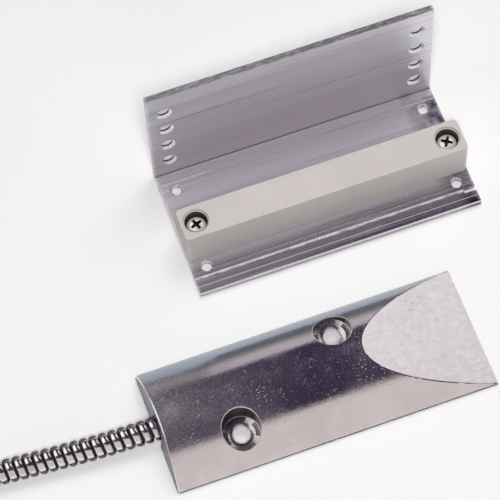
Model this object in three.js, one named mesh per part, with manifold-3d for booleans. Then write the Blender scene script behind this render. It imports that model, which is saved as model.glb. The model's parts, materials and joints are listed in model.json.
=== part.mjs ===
// Overhead-door magnetic contact in two units: a low arched switch housing with an armoured
// cable, and a bar magnet in a plastic case that is screwed to an angle bracket.
// Millimetres, +Z up. The origin is on the floor, in the middle of the two units' footprint.

import * as THREE from 'three';
import { mergeVertices } from 'three/addons/utils/BufferGeometryUtils.js';
import Module from 'manifold-3d';

const wasm = await Module();
wasm.setup();

// ---------------------------------------------------------------- driving dimensions

const gap = 0.3; // between a piece and the neighbour it is cut by or lies in
const seat = 0.05; // between two flat faces that rest on each other

const layout = { bracketShift: 29.1, depth: 110.4 };

const housing = { length: 107, width: 42.6, crown: 12, lip: 1, endLean: 1.2 };
const ramp = { start: 69.6, endHeight: 0.9 };
const screwSeat = { bore: 2.95, sink: 6.1, cone: 4.3, relief: 4.6 };
const seatPlaces = [[24.8, -10.9], [63.1, 10.9]]; // from the cable end, and from the centre line
const seatHeight = { web: 3.2, bore: 4.0, ledge: 4.5 };
const entry = { length: 14, halfWidth: 5.2, axisHeight: 5.2, mouth: 4.2, mouthLength: 1.7 };
const channel = { end: 33, halfWidth: 3.6, height: 9 };
const pocket = { start: 32, end: 55, halfWidth: 9, height: 8.4 };
const potting = { bottom: 0.4, top: 2.3 };

const reed = { start: 38, length: 12, height: 5.2, outer: 1.3, inner: 0.95, lead: 0.3 };
const cradle = { inset: 1, halfWidth: 3.2 };
const splicedBeside = -6.4; // how far from the centre line the moving blade's lead is spliced
const blade = { length: 6.6, width: 0.9, thickness: 0.2, contactGap: 0.3 };
const splice = { outer: 1.3, inner: 0.95, length: 3 };
const leadHeight = reed.height - 0.2; // height of the fixed blade's lead
const coreWire = 0.6;

const cable = { radius: 3.9, insideHousing: 8, clampFace: 2, clampLength: 9 };
const onFloor = cable.radius + 0.05; // height of the cable's axis where it lies on the floor
const coil = { x: -96, radius: 48, pitch: 8.2, turns: 2 };
const tie = { width: 4.4, thickness: 0.9, play: 0.4 };
const tieHead = { length: 3, width: 5.6, bottom: 2.2, top: 7.2 };
const freeAngle = 0.66; // radians of the inner lane left free past the cable's end
const pigtail = { radius: 0.8, core: 0.4, bare: 7 };

const bracket = { length: 97.4, depth: 48.3, height: 49.9, plate: 2.1 };
const legHole = { radius: 2, fromEnd: 5.6, first: 10.4, pitch: 9.85, count: 4 };
const baseHole = { radius: 1.75, fromEnd: 5.2, fromBack: [9.1, 39.2] };
const groove = { fromBack: 43.4, width: 1.6, depth: 0.5 };
const score = { fromBack: 6.3, width: 0.9, depth: 0.45 };
const endSlot = { length: 4.1, width: 2, fromBack: 42.8 };

const magnetCase = { length: 97, width: 11.7, height: 15, corner: 1.5, fromBack: 30.05 };
const caseScrew = { fromEnd: 5.3, sink: 3.85, depth: 5.2, bore: 2.1, chamfer: 0.35 };
const magnetPocket = { start: 12, wall: 2.5, halfWidth: 4 };
const screw = { head: 3.3, headHeight: 2, shank: 1.7, crossWidth: 0.9, crossReach: 2, crossDepth: 1.1 };
const washer = { inner: 2, outer: 3.4, thickness: 0.7, split: 0.6 };

// ---------------------------------------------------------------- materials

function finish(color, roughness, metalness) {
  return new THREE.MeshStandardMaterial({ color, roughness, metalness });
}

const polishedAluminium = finish(0xb9b4b8, 0.2, 1);
const millAluminium = finish(0xa9a7ad, 0.4, 1);
const steel = finish(0xd0cfd0, 0.25, 1);
const armourSteel = finish(0xbdb6b8, 0.3, 1);
const greyPlastic = finish(0xccc5c1, 0.55, 0);
const blackPlastic = finish(0x1d1d1f, 0.5, 0);
const redPlastic = finish(0xa8201c, 0.45, 0);
const resin = finish(0x26262a, 0.6, 0);
const ferrite = finish(0x3a3a3d, 0.6, 0.2);
const copper = finish(0xb87848, 0.35, 1);
const glass = finish(0xcfe3dc, 0.05, 0);
glass.transparent = true;
glass.opacity = 0.4;

// ---------------------------------------------------------------- solids and booleans

function toSolid(geometry) {
  const bare = geometry.clone();
  bare.deleteAttribute('normal');
  bare.deleteAttribute('uv');
  const merged = mergeVertices(bare, 1e-4);
  const vertProperties = new Float32Array(merged.attributes.position.array);
  const triVerts = new Uint32Array(merged.index.array);
  return new wasm.Manifold(new wasm.Mesh({ numProp: 3, vertProperties, triVerts }));
}

function toGeometry(solid) {
  const mesh = solid.getMesh();
  const geometry = new THREE.BufferGeometry();
  geometry.setAttribute('position', new THREE.BufferAttribute(mesh.vertProperties, 3));
  geometry.setIndex(new THREE.BufferAttribute(mesh.triVerts, 1));
  geometry.computeVertexNormals();
  return geometry;
}

function cut(blank, ...tools) {
  return toGeometry(tools.reduce((left, tool) => left.subtract(toSolid(tool)), toSolid(blank)));
}

function join(...pieces) {
  return toGeometry(pieces.map(toSolid).reduce((whole, piece) => whole.add(piece)));
}

function box(x0, x1, y0, y1, z0, z1) {
  const geometry = new THREE.BoxGeometry(x1 - x0, y1 - y0, z1 - z0);
  return geometry.translate((x0 + x1) / 2, (y0 + y1) / 2, (z0 + z1) / 2);
}

// A profile of [radius, height] pairs turned about a vertical axis through (x, y).
function turned(profile, x, y, sides) {
  const points = profile.map(([radius, height]) => new THREE.Vector2(radius, height));
  return new THREE.LatheGeometry(points, sides).rotateX(Math.PI / 2).translate(x, y, 0);
}

function rod(radius, z0, z1, x, y, sides = 28) {
  return turned([[0, z0], [radius, z0], [radius, z1], [0, z1]], x, y, sides);
}

// A profile of [radius, x] pairs turned about the line y = 0, z = height.
function turnedAlongX(profile, y, height, sides) {
  const points = profile.map(([radius, x]) => new THREE.Vector2(radius, x));
  return new THREE.LatheGeometry(points, sides).rotateZ(-Math.PI / 2).translate(0, y, height);
}

function extruded(shape, depth, curveSegments = 12) {
  return new THREE.ExtrudeGeometry(shape, { depth, bevelEnabled: false, curveSegments });
}

// A shape drawn in (y, z), pulled from x0 to x1.
function alongX(shape, x0, x1, curveSegments) {
  const turn = new THREE.Matrix4().makeBasis(
    new THREE.Vector3(0, 1, 0),
    new THREE.Vector3(0, 0, 1),
    new THREE.Vector3(1, 0, 0),
  );
  return extruded(shape, x1 - x0, curveSegments).applyMatrix4(turn).translate(x0, 0, 0);
}

// A shape drawn in (x, z), pulled from y0 to y1.
function alongY(shape, y0, y1) {
  return extruded(shape, y1 - y0).rotateX(Math.PI / 2).translate(0, y1, 0);
}

function polygon(points) {
  return new THREE.Shape(points.map(([across, up]) => new THREE.Vector2(across, up)));
}

function circlePoints(radius, sides) {
  return Array.from({ length: sides }, (_, i) => {
    const angle = (2 * Math.PI * i) / sides;
    return [radius * Math.cos(angle), radius * Math.sin(angle)];
  });
}

function tube(points, radius, sides, steps) {
  const route = new THREE.CatmullRomCurve3(points.map((point) => new THREE.Vector3(...point)));
  const section = polygon(circlePoints(radius, sides));
  return new THREE.ExtrudeGeometry(section, { steps, extrudePath: route, bevelEnabled: false });
}

function addMesh(parent, name, geometry, material) {
  const mesh = new THREE.Mesh(geometry, material);
  mesh.name = name;
  parent.add(mesh);
}

// ---------------------------------------------------------------- switch unit
// Its group's frame: x from the cable end, y from the long centre line, z from the floor.

function archShape() {
  const half = housing.width / 2;
  const rise = housing.crown - housing.lip;
  const radius = (half * half + rise * rise) / (2 * rise);
  const centre = housing.crown - radius;
  const edge = Math.atan2(housing.lip - centre, half);
  const shape = new THREE.Shape();
  shape.moveTo(-half, 0);
  shape.lineTo(half, 0);
  shape.lineTo(half, housing.lip);
  shape.absarc(0, centre, radius, edge, Math.PI - edge, false);
  return shape;
}

function endWedge() {
  const above = housing.crown + 1;
  const lean = housing.endLean / housing.crown;
  const half = housing.width;
  return alongY(polygon([[-2, -1], [-lean, -1], [lean * above, above], [-2, above]]), -half, half);
}

function rampWedge() {
  const fall = (housing.crown - ramp.endHeight) / (housing.length - ramp.start);
  const past = 3;
  const from = [ramp.start - past, housing.crown + past * fall];
  const to = [housing.length + past, ramp.endHeight - past * fall];
  const top = housing.crown + past;
  const half = housing.width;
  return alongY(polygon([from, to, [to[0], top], [from[0], top]]), -half, half);
}

function seatCutter(x, y) {
  const top = housing.crown + 1;
  const profile = [
    [0, -1],
    [screwSeat.relief, -1],
    [screwSeat.relief, seatHeight.web],
    [screwSeat.bore, seatHeight.web],
    [screwSeat.bore, seatHeight.bore],
    [screwSeat.cone, seatHeight.ledge],
    [screwSeat.sink, seatHeight.ledge],
    [screwSeat.sink, top],
    [0, top],
  ];
  return turned(profile, x, y, 40);
}

// A doorway outline: straight sides from the given floor and a round head about the cable's axis.
function doorway(halfWidth, floor) {
  const shape = new THREE.Shape();
  shape.moveTo(-halfWidth, floor);
  shape.lineTo(halfWidth, floor);
  shape.absarc(0, entry.axisHeight, halfWidth, 0, Math.PI, false);
  return shape;
}

function switchHousing() {
  const blank = alongX(archShape(), 0, housing.length, 60);
  const seats = seatPlaces.map(([x, y]) => seatCutter(x, y));
  const mouth = alongX(doorway(entry.mouth, -1), -1, entry.mouthLength + 1, 16);
  const way = alongX(doorway(entry.halfWidth, -1), entry.mouthLength, entry.length, 16);
  const run = box(entry.length - 1, channel.end, -channel.halfWidth, channel.halfWidth, -1, channel.height);
  const room = box(pocket.start, pocket.end, -pocket.halfWidth, pocket.halfWidth, -1, pocket.height);
  return cut(blank, endWedge(), rampWedge(), ...seats, mouth, way, run, room);
}

function pottingFill() {
  const { bottom, top } = potting;
  const run = channel.halfWidth - gap;
  const room = pocket.halfWidth - gap;
  return join(
    box(entry.length + gap, pocket.start + 1, -run, run, bottom, top),
    box(pocket.start + gap, pocket.end - gap, -room, room, bottom, top),
  );
}

function cableClamp() {
  const outside = alongX(
    doorway(entry.halfWidth - gap, gap),
    cable.clampFace,
    cable.clampFace + cable.clampLength,
    16,
  );
  const hole = cable.radius + gap;
  return cut(outside, turnedAlongX([[0, -1], [hole, -1], [hole, 20], [0, 20]], 0, entry.axisHeight, 24));
}

function reedCarrier() {
  const start = reed.start + cradle.inset;
  const end = reed.start + reed.length - cradle.inset;
  const block = box(start, end, -cradle.halfWidth, cradle.halfWidth, potting.top + gap, reed.height);
  const bed = reed.outer + gap;
  const bedProfile = [[0, start - 1], [bed, start - 1], [bed, end + 1], [0, end + 1]];
  return cut(block, turnedAlongX(bedProfile, 0, reed.height, 20));
}

function reedTube() {
  const end = reed.start + reed.length;
  const wall = [[reed.inner, reed.start], [reed.outer, reed.start], [reed.outer, end], [reed.inner, end]];
  return turnedAlongX([...wall, wall[0]], 0, reed.height, 20);
}

function bladeStrip(x0, side) {
  const half = blade.width / 2;
  const near = side * (blade.contactGap / 2);
  const far = near + side * blade.thickness;
  const low = reed.height + Math.min(near, far);
  const high = reed.height + Math.max(near, far);
  return box(x0, x0 + blade.length, -half, half, low, high);
}

function fixedBlade() {
  const root = reed.start + gap;
  const strip = bladeStrip(root, -1);
  const tip = reed.start - splice.length - 0.2;
  const joint = root + 0.6;
  const wire = [[0, tip], [reed.lead, tip], [reed.lead, joint], [0, joint]];
  return join(strip, turnedAlongX(wire, 0, leadHeight, 12));
}

function movingBladeRoot() {
  return reed.start + reed.length - gap;
}

function movingLead() {
  const x = movingBladeRoot() + gap;
  const route = [
    [x, 0, reed.height],
    [x + 1.2, 0, reed.height],
    [x + 2.3, -1, reed.height],
    [x + 2.6, -3.2, reed.height],
    [x + 2.2, -5.4, reed.height],
    [x + 1, splicedBeside, reed.height],
    [x - 2.6, splicedBeside, reed.height],
  ];
  return tube(route, reed.lead, 8, 24);
}

function spliceSleeve(x0, y, height) {
  const x1 = x0 + splice.length;
  const wall = [[splice.inner, x0], [splice.outer, x0], [splice.outer, x1], [splice.inner, x1]];
  return turnedAlongX([...wall, wall[0]], y, height, 16);
}

function addSwitchUnit(group) {
  const spliceA = reed.start - 5;
  const spliceB = reed.start + 6;
  const cores = cable.insideHousing + gap;
  addMesh(group, 'switch_housing', switchHousing(), polishedAluminium);
  addMesh(group, 'potting_fill', pottingFill(), resin);
  addMesh(group, 'cable_clamp', cableClamp(), blackPlastic);
  addMesh(group, 'reed_carrier', reedCarrier(), greyPlastic);
  addMesh(group, 'reed_glass', reedTube(), glass);
  addMesh(group, 'reed_blade_fixed', fixedBlade(), steel);
  addMesh(group, 'reed_blade_moving', bladeStrip(movingBladeRoot() - blade.length, 1), steel);
  addMesh(group, 'reed_lead_moving', movingLead(), steel);
  addMesh(group, 'splice_sleeve_a', spliceSleeve(spliceA, 0, leadHeight), copper);
  addMesh(group, 'splice_sleeve_b', spliceSleeve(spliceB, splicedBeside, reed.height), copper);
  const routeA = [
    [cores, 1.2, reed.height],
    [18, 1.2, 5.1],
    [26, 0.6, leadHeight],
    [31, 0, leadHeight],
    [spliceA + 1.2, 0, leadHeight],
  ];
  const routeB = [
    [cores, -1.2, reed.height],
    [20, -1.3, reed.height],
    [29, -1.5, reed.height],
    [34, -3.4, reed.height],
    [38, -5.8, reed.height],
    [41.5, splicedBeside, reed.height],
    [spliceB + 1.2, splicedBeside, reed.height],
  ];
  addMesh(group, 'core_wire_a', tube(routeA, coreWire, 8, 24), redPlastic);
  addMesh(group, 'core_wire_b', tube(routeB, coreWire, 8, 36), blackPlastic);
}

// ---------------------------------------------------------------- armoured cable

// The stretch that is not coiled: out of the clamp, down to the floor and away to the coil.
const cableRoute = [
  [8, 0, 5.2],
  [2, 0, 5.2],
  [-4, 0.05, 5.15],
  [-12, 0.4, 4.8],
  [-20, 0.9, 4.4],
  [-30, 1.7, 4.1],
  [-40, 2.5, 3.97],
  [-50, 3.35, onFloor],
  [-60, 4.05, onFloor],
  [-70, 4.6, onFloor],
  [-80, 5.0, onFloor],
  [-88, 5.15, onFloor],
  [coil.x, 5.2, onFloor],
];
const cableEnd = cableRoute[cableRoute.length - 1];
const coilCentre = [coil.x, cableEnd[1] + coil.radius];
const innerTurn = coil.radius - coil.pitch * coil.turns;
const coilInside = innerTurn - cable.radius;
const coilOutside = coil.radius + cable.radius;
const coilTop = 2 * cable.radius + 0.1;

function coilRing(inner, outer, bottom, top) {
  const wall = [[inner, bottom], [outer, bottom], [outer, top], [inner, top]];
  return turned([...wall, wall[0]], ...coilCentre, 56);
}

// The stretch of the inner lane past the cable's end, left free for the bushing and the leads.
function freeLane() {
  const reach = innerTurn + cable.radius + 1;
  const end = -Math.PI / 2;
  const start = end - freeAngle;
  const shape = new THREE.Shape();
  shape.moveTo(0, 0);
  shape.lineTo(reach * Math.cos(start), reach * Math.sin(start));
  shape.absarc(0, 0, reach, start, end, false);
  return extruded(shape, coilTop + 2, 12).translate(...coilCentre, -1);
}

function strapNotch() {
  const half = tie.width / 2 + gap;
  const [x, y] = coilCentre;
  return box(x - coilOutside - 1, x - coilInside + 1, y - half, y + half, -1, tie.thickness + 2 * gap);
}

function coilTie() {
  const [x, y] = coilCentre;
  const half = tie.width / 2;
  const t = tie.thickness;
  const x0 = x - coilOutside - tie.play;
  const x1 = x - coilInside + tie.play;
  const z0 = t + 0.05;
  const z1 = coilTop + tie.play;
  const band = box(x0 - t, x1 + t, y - half, y + half, z0 - t, z1 + t);
  const headSide = tieHead.width / 2;
  const headBack = x0 - t - tieHead.length;
  const head = box(headBack, x0 - t / 2, y - headSide, y + headSide, tieHead.bottom, tieHead.top);
  return cut(join(band, head), box(x0, x1, y - half - 1, y + half + 1, z0, z1));
}

function endBushing() {
  const x = coil.x - gap;
  const y = coilCentre[1] - innerTurn;
  const profile = [[0, 0], [3.4, 0], [3.4, 2], [2.6, 2.6], [2.4, 5], [0, 5]];
  return turnedAlongX(profile, 0, 0, 20).rotateZ(Math.PI).translate(x, y, onFloor);
}

// The two leads, from the bushing's nose down to the floor and round inside the coil.
const leadRoutes = {
  red: [
    [-101.6, 22.7, onFloor],
    [-104.5, 23.2, 3.6],
    [-106.8, 25.4, 2.2],
    [-108.5, 29, 0.95],
    [-109.2, 33.5, 0.9],
    [-108.6, 39, 0.9],
    [-106, 44, 0.9],
    [-101, 47.6, 0.9],
    [-95, 49.2, 0.9],
    [-89, 49, 0.9],
    [-83.5, 47.4, 0.9],
  ],
  black: [
    [-101.6, 20.5, onFloor],
    [-105.5, 21.4, 3.7],
    [-109, 24.6, 2.4],
    [-111.2, 28.8, 0.95],
    [-112, 33.5, 0.9],
    [-111.8, 40, 0.9],
    [-110, 47, 0.9],
    [-106, 52.5, 0.9],
    [-100.5, 56.5, 0.9],
    [-94, 58.5, 0.9],
    [-87.5, 58.2, 0.9],
  ],
};

// A straight stripped end that goes on from the last two points of a lead's route.
function bareEnd(route) {
  const last = new THREE.Vector3(...route[route.length - 1]);
  const before = new THREE.Vector3(...route[route.length - 2]);
  const along = last.clone().sub(before).normalize();
  const from = last.clone().addScaledVector(along, gap);
  const to = from.clone().addScaledVector(along, pigtail.bare);
  return tube([from.toArray(), to.toArray()], pigtail.core, 8, 1);
}

function addCable(group) {
  const straight = tube(cableRoute, cable.radius, 12, 30);
  const clearance = coilRing(coilInside - gap, coilOutside + gap, -1, coilTop + 1);
  const ring = coilRing(coilInside, coilOutside, 0.05, coilTop);
  addMesh(group, 'armour_conduit', cut(straight, clearance), armourSteel);
  addMesh(group, 'armour_coil', cut(ring, freeLane(), strapNotch()), armourSteel);
  addMesh(group, 'coil_tie', coilTie(), blackPlastic);
  addMesh(group, 'end_bushing', endBushing(), redPlastic);
  addMesh(group, 'lead_red', tube(leadRoutes.red, pigtail.radius, 8, 30), redPlastic);
  addMesh(group, 'lead_black', tube(leadRoutes.black, pigtail.radius, 8, 30), blackPlastic);
  addMesh(group, 'bare_end_red', bareEnd(leadRoutes.red), copper);
  addMesh(group, 'bare_end_black', bareEnd(leadRoutes.black), copper);
}

// ---------------------------------------------------------------- magnet unit
// Its group's frame: x from the bracket's left end, y from the upright leg's back face (so that
// the rest of the unit is at negative y), z from the floor.

function holeAlongY(radius, x, z) {
  const shape = polygon(circlePoints(radius, 24).map(([dx, dz]) => [x + dx, z + dz]));
  return alongY(shape, -bracket.plate - 1, 1);
}

function angleBracket() {
  const { length, depth, height, plate } = bracket;
  const base = box(0, length, -depth, 0, 0, plate);
  const leg = box(0, length, -plate, 0, 0, height);
  const ends = (inset) => [inset, length - inset];
  const tools = [];
  for (const x of ends(legHole.fromEnd)) {
    for (let i = 0; i < legHole.count; i += 1) {
      tools.push(holeAlongY(legHole.radius, x, legHole.first + i * legHole.pitch));
    }
  }
  for (const x of ends(baseHole.fromEnd)) {
    for (const back of baseHole.fromBack) {
      tools.push(rod(baseHole.radius, -1, plate + 1, x, -back, 24));
    }
  }
  for (const x of screwPlaces()) {
    tools.push(rod(screw.shank + gap, -1, plate + 1, x, -magnetCase.fromBack));
  }
  const low = plate - groove.depth;
  const grooveFront = -groove.fromBack - groove.width / 2;
  tools.push(box(-1, length + 1, grooveFront, grooveFront + groove.width, low, plate + 1));
  const slotFront = -endSlot.fromBack - endSlot.width / 2;
  tools.push(box(length - endSlot.length, length + 1, slotFront, slotFront + endSlot.width, -1, plate + 1));
  const y = -score.fromBack;
  const half = score.width / 2;
  const vee = polygon([
    [y, plate - score.depth],
    [y + half, plate],
    [y + half, plate + 1],
    [y - half, plate + 1],
    [y - half, plate],
  ]);
  tools.push(alongX(vee, -1, length + 1));
  return cut(join(base, leg), ...tools);
}

function caseLeft() {
  return (bracket.length - magnetCase.length) / 2;
}

function screwPlaces() {
  const left = caseLeft() + caseScrew.fromEnd;
  return [left, bracket.length - left];
}

const caseBottom = bracket.plate + seat;
const caseTop = caseBottom + magnetCase.height;

function roundedRectangle(x0, x1, y0, y1, r) {
  const shape = new THREE.Shape();
  shape.moveTo(x0 + r, y0);
  shape.absarc(x1 - r, y0 + r, r, -Math.PI / 2, 0, false);
  shape.absarc(x1 - r, y1 - r, r, 0, Math.PI / 2, false);
  shape.absarc(x0 + r, y1 - r, r, Math.PI / 2, Math.PI, false);
  shape.absarc(x0 + r, y0 + r, r, Math.PI, 1.5 * Math.PI, false);
  return shape;
}

function caseCutter(x) {
  const floor = caseTop - caseScrew.depth;
  const rim = caseScrew.sink + caseScrew.chamfer;
  const profile = [
    [0, caseBottom - 1],
    [caseScrew.bore, caseBottom - 1],
    [caseScrew.bore, floor],
    [caseScrew.sink, floor],
    [caseScrew.sink, caseTop - caseScrew.chamfer],
    [rim, caseTop],
    [rim, caseTop + 1],
    [0, caseTop + 1],
  ];
  return turned(profile, x, -magnetCase.fromBack, 36);
}

function plasticCase() {
  const half = magnetCase.width / 2;
  const y = -magnetCase.fromBack;
  const x0 = caseLeft();
  const outline = roundedRectangle(x0, x0 + magnetCase.length, y - half, y + half, magnetCase.corner);
  const blank = extruded(outline, magnetCase.height, 5).translate(0, 0, caseBottom);
  const { start, wall, halfWidth } = magnetPocket;
  const top = caseTop - wall;
  const hollow = box(start, bracket.length - start, y - halfWidth, y + halfWidth, caseBottom - 1, top);
  return cut(blank, hollow, ...screwPlaces().map(caseCutter));
}

function magnetBar(side) {
  const y = -magnetCase.fromBack;
  const half = magnetPocket.halfWidth - gap;
  const inner = bracket.length / 2 + (side * gap) / 2;
  const outer = side < 0 ? magnetPocket.start + gap : bracket.length - magnetPocket.start - gap;
  const top = caseTop - magnetPocket.wall - gap;
  return box(Math.min(inner, outer), Math.max(inner, outer), y - half, y + half, caseBottom + 2.4, top);
}

function magnetPotting() {
  const y = -magnetCase.fromBack;
  const half = magnetPocket.halfWidth - gap;
  const start = magnetPocket.start + gap;
  return box(start, bracket.length - start, y - half, y + half, caseBottom + gap, caseBottom + 2.1);
}

const washerBottom = caseTop - caseScrew.depth + seat;
const headBottom = washerBottom + washer.thickness + seat;

function panHeadScrew(x) {
  const y = -magnetCase.fromBack;
  const top = headBottom + screw.headHeight;
  const profile = [
    [0, 0.35],
    [screw.shank - 0.4, 0.35],
    [screw.shank, 0.75],
    [screw.shank, headBottom],
    [screw.head, headBottom],
    [screw.head, top - 0.9],
    [screw.head - 0.35, top - 0.35],
    [screw.head - 1.1, top - 0.05],
    [0, top],
  ];
  const arm = screw.crossWidth / 2;
  const reach = screw.crossReach;
  const low = top - screw.crossDepth;
  const across = box(x - reach, x + reach, y - arm, y + arm, low, top + 1);
  const along = box(x - arm, x + arm, y - reach, y + reach, low, top + 1);
  return cut(turned(profile, x, y, 28), across, along);
}

function splitWasher(x) {
  const y = -magnetCase.fromBack;
  const top = washerBottom + washer.thickness;
  const { inner, outer } = washer;
  const wall = [[inner, washerBottom], [outer, washerBottom], [outer, top], [inner, top]];
  const slit = washer.split / 2;
  const ring = turned([...wall, wall[0]], x, y, 28);
  return cut(ring, box(x, x + washer.outer + 1, y - slit, y + slit, washerBottom - 1, top + 1));
}

function addMagnetUnit(group) {
  addMesh(group, 'angle_bracket', angleBracket(), millAluminium);
  addMesh(group, 'magnet_case', plasticCase(), greyPlastic);
  addMesh(group, 'magnet_potting', magnetPotting(), resin);
  ['left', 'right'].forEach((side, i) => {
    const x = screwPlaces()[i];
    addMesh(group, `bar_magnet_${side}`, magnetBar(i === 0 ? -1 : 1), ferrite);
    addMesh(group, `case_screw_${side}`, panHeadScrew(x), steel);
    addMesh(group, `lock_washer_${side}`, splitWasher(x), steel);
  });
}

// ---------------------------------------------------------------- the whole object

const group = new THREE.Group();
const leftEnd = -(layout.bracketShift + bracket.length) / 2;

const switchUnit = new THREE.Group();
switchUnit.position.set(leftEnd, -layout.depth / 2 + housing.width / 2, 0);
addSwitchUnit(switchUnit);
addCable(switchUnit);
group.add(switchUnit);

const magnetUnit = new THREE.Group();
magnetUnit.position.set(leftEnd + layout.bracketShift, layout.depth / 2, 0);
addMagnetUnit(magnetUnit);
group.add(magnetUnit);

export default group;
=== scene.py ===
"""Looks of an overhead-door magnetic contact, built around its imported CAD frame.

Pieces are drawn in millimetres in their unit's own frame and turned into metres in the row frame
as they become objects. Switch unit: x from the cable end, y from the centre line. Magnet unit:
x from the bracket's left end, y from the upright leg's back face. In both, z is from the floor.
"""

import json
import math

import bmesh
import bpy
from mathutils import Matrix, Vector, noise


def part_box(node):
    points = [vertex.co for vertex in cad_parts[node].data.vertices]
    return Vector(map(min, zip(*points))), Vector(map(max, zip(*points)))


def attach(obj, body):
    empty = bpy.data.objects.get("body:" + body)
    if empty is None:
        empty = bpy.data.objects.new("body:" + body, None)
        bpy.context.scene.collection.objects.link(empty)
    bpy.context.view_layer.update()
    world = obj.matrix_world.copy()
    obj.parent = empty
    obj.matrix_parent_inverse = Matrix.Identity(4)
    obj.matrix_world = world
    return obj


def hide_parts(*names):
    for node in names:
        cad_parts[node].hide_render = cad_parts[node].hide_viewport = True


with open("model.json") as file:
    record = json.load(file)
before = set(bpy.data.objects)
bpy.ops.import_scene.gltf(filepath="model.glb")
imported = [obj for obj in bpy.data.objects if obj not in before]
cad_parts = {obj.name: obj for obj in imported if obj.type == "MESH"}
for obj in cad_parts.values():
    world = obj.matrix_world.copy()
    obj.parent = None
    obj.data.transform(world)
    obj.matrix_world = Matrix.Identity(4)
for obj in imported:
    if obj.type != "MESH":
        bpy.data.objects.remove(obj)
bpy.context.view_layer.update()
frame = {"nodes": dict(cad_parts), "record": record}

MM = 0.001
QUARTER = math.pi / 2


def size_of(node):
    """A CAD node's size in millimetres."""
    low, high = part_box(node)
    return (high - low) / MM


def box_about(origin, node):
    """A CAD node's lowest and highest corners, in millimetres about a unit's origin."""
    low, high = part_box(node)
    return (low - origin) / MM, (high - origin) / MM


housing_low, housing_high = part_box("switch_housing")
bracket_low, bracket_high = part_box("angle_bracket")
SWITCH = Vector((housing_low.x, (housing_low.y + housing_high.y) / 2, 0))
MAGNET = Vector((bracket_low.x, bracket_high.y, 0))


# ---------------------------------------------------------------- camera

CAMERA = {
    "azimuth": math.radians(-16.2),
    "elevation": math.radians(62.35),
    "roll": math.radians(-3.95),
    "looks_at": Vector((-0.01352, 0.01762, 0)),
    "distance": 0.84665,
    "lens": 187.2,
}


def view_axes():
    """The camera's right, up and backward directions."""
    a, e, roll = CAMERA["azimuth"], CAMERA["elevation"], CAMERA["roll"]
    back = Vector((math.sin(a) * math.cos(e), -math.cos(a) * math.cos(e), math.sin(e)))
    level = Vector((math.cos(a), math.sin(a), 0))
    upright = back.cross(level)
    right = level * math.cos(roll) + upright * math.sin(roll)
    up = upright * math.cos(roll) - level * math.sin(roll)
    return right, up, back


def add_camera():
    right, up, back = view_axes()
    data = bpy.data.cameras.new("camera")
    data.sensor_width = 36
    data.lens = CAMERA["lens"]
    data.clip_start = 0.01
    camera = bpy.data.objects.new("camera", data)
    bpy.context.scene.collection.objects.link(camera)
    turn = Matrix((right, up, back)).transposed().to_4x4()
    camera.matrix_world = Matrix.Translation(CAMERA["looks_at"] + back * CAMERA["distance"]) @ turn
    bpy.context.scene.camera = camera


add_camera()


# ---------------------------------------------------------------- node materials


class Nodes:
    """Adds nodes to a material or a world. What feeds an input is a number, a colour or an output."""

    def __init__(self, owner):
        owner.use_nodes = True
        self.nodes, self.links = owner.node_tree.nodes, owner.node_tree.links

    def feed(self, socket, value):
        if isinstance(value, bpy.types.NodeSocket):
            self.links.new(value, socket)
        else:
            socket.default_value = (*value, 1) if socket.type == "RGBA" else value

    def add(self, kind, inputs, operation=None):
        """A new node, with its inputs fed by name or by number."""
        made = self.nodes.new("ShaderNode" + kind)
        if operation:
            made.operation = operation
        for key, value in inputs.items():
            self.feed(made.inputs[key], value)
        return made

    def calculate(self, how, first, second):
        return self.add("Math", {0: first, 1: second}, how).outputs["Value"]

    def plus(self, first, second):
        return self.calculate("ADD", first, second)

    def times(self, first, second):
        return self.calculate("MULTIPLY", first, second)

    def most(self, first, second):
        return self.calculate("MAXIMUM", first, second)

    def between(self, value, start, end, low=0.0, high=1.0):
        """value taken from start..end to low..high, and held there."""
        span = {"Value": value, "From Min": start, "From Max": end, "To Min": low, "To Max": high}
        return self.add("MapRange", span).outputs["Result"]

    def blend(self, mask, first, second):
        """The colour first where mask is 0, and second where it is 1."""
        mix = self.nodes.new("ShaderNodeMix")
        mix.data_type = "RGBA"
        for key, value in (("Factor", mask), (6, first), (7, second)):
            self.feed(mix.inputs[key], value)
        return mix.outputs[2]


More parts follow.
